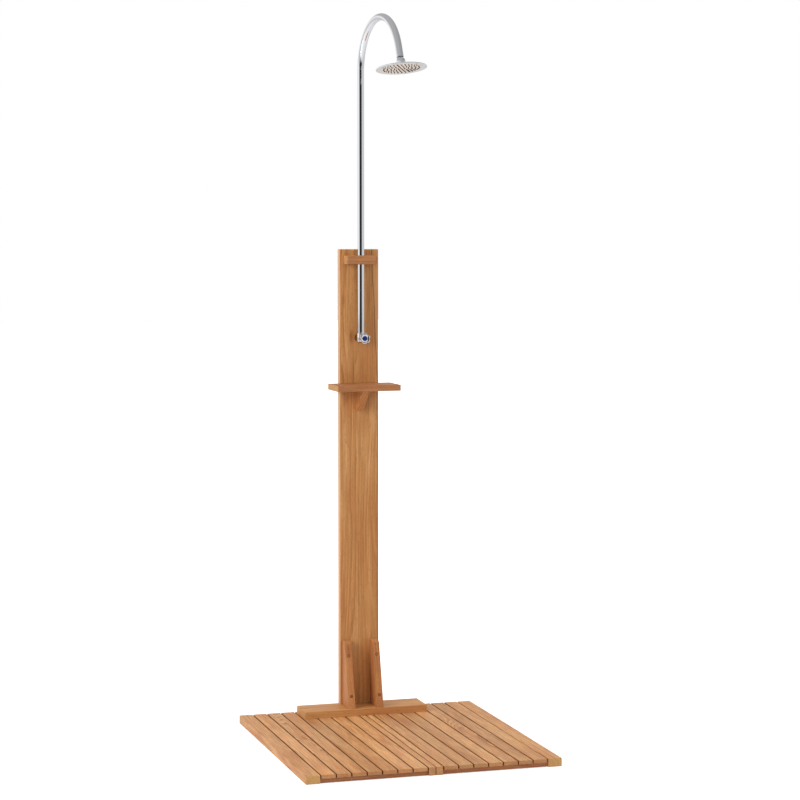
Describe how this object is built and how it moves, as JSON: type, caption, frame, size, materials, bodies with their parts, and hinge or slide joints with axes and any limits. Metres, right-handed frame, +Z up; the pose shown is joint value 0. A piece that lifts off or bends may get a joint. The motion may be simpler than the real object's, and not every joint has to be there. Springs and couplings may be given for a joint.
{
  "type": "outdoor shower post",
  "caption": "Slatted teak tray with an upright post, gussets and small shelf, carrying a chromed pipe with a lobed tap, a gooseneck and a swivelling rain head.",
  "frame": {"origin": "centre of the bounding box's underside, on the ground", "axes": "+Z up, +X to the user's right, +Y from the user towards the post"},
  "size_m": [0.754, 0.831, 2.1759],
  "materials": {
    "teak": "oiled teak",
    "rail_teak": "darker red-brown hardwood, oiled",
    "chrome": "polished chrome on brass",
    "polished_steel": "polished stainless steel",
    "stainless": "plain stainless screws",
    "brass": "machined brass",
    "blue_cap": "glossy deep blue",
    "seat_plastic": "acetal",
    "nozzle_rubber": "dark silicone"
  },
  "bodies": {
    "stand": {"back_nut": "chrome", "ball_connector": "chrome", "clamp_block": "teak", "clamp_screws": "stainless", "foot_board": "teak", "gusset_left": "teak", "gusset_right": "teak", "gusset_screws": "stainless", "left_inner_board": "teak", "left_outer_board": "teak", "left_rail_front": "rail_teak", "left_rail_middle": "rail_teak", "left_rail_rear": "rail_teak", "left_slat_1": "teak", "left_slat_2": "teak", "left_slat_3": "teak", "left_slat_4": "teak", "left_slat_5": "teak", "left_slat_6": "teak", "left_slat_7": "teak", "neck_tube": "chrome", "post_board": "teak", "right_inner_board": "teak", "right_outer_board": "teak", "right_rail_front": "rail_teak", "right_rail_middle": "rail_teak", "right_rail_rear": "rail_teak", "right_slat_1": "teak", "right_slat_2": "teak", "right_slat_3": "teak", "right_slat_4": "teak", "right_slat_5": "teak", "right_slat_6": "teak", "right_slat_7": "teak", "riser_tube": "chrome", "shelf_board": "teak", "shelf_bracket": "teak", "shelf_screws": "stainless", "valve_body": "chrome"},
    "tap": {"tap_spindle": "brass", "tap_knob": "chrome", "index_cap": "blue_cap"},
    "seat": {"ball_seat": "seat_plastic"},
    "head": {"swivel_nut": "chrome", "head_shell": "chrome", "face_plate": "polished_steel", "nozzles": "nozzle_rubber"}
  },
  "joints": [
    {"name": "tap_turn", "type": "hinge", "parent": "stand", "child": "tap", "pos_m": [0, 0.312, 1.193], "axis": [0, -1, 0], "range_deg": [0, 90]},
    {"name": "head_tilt", "type": "hinge", "parent": "stand", "child": "seat", "pos_m": [0.03318, 0.0323, 2.0217], "axis": [0.9781, 0.2079, 0], "range_deg": [-24, 9]},
    {"name": "head_roll", "type": "hinge", "parent": "seat", "child": "head", "pos_m": [0.03318, 0.0323, 2.0217], "axis": [-0.2079, 0.9781, 0], "range_deg": [-8, 8]}
  ]
}
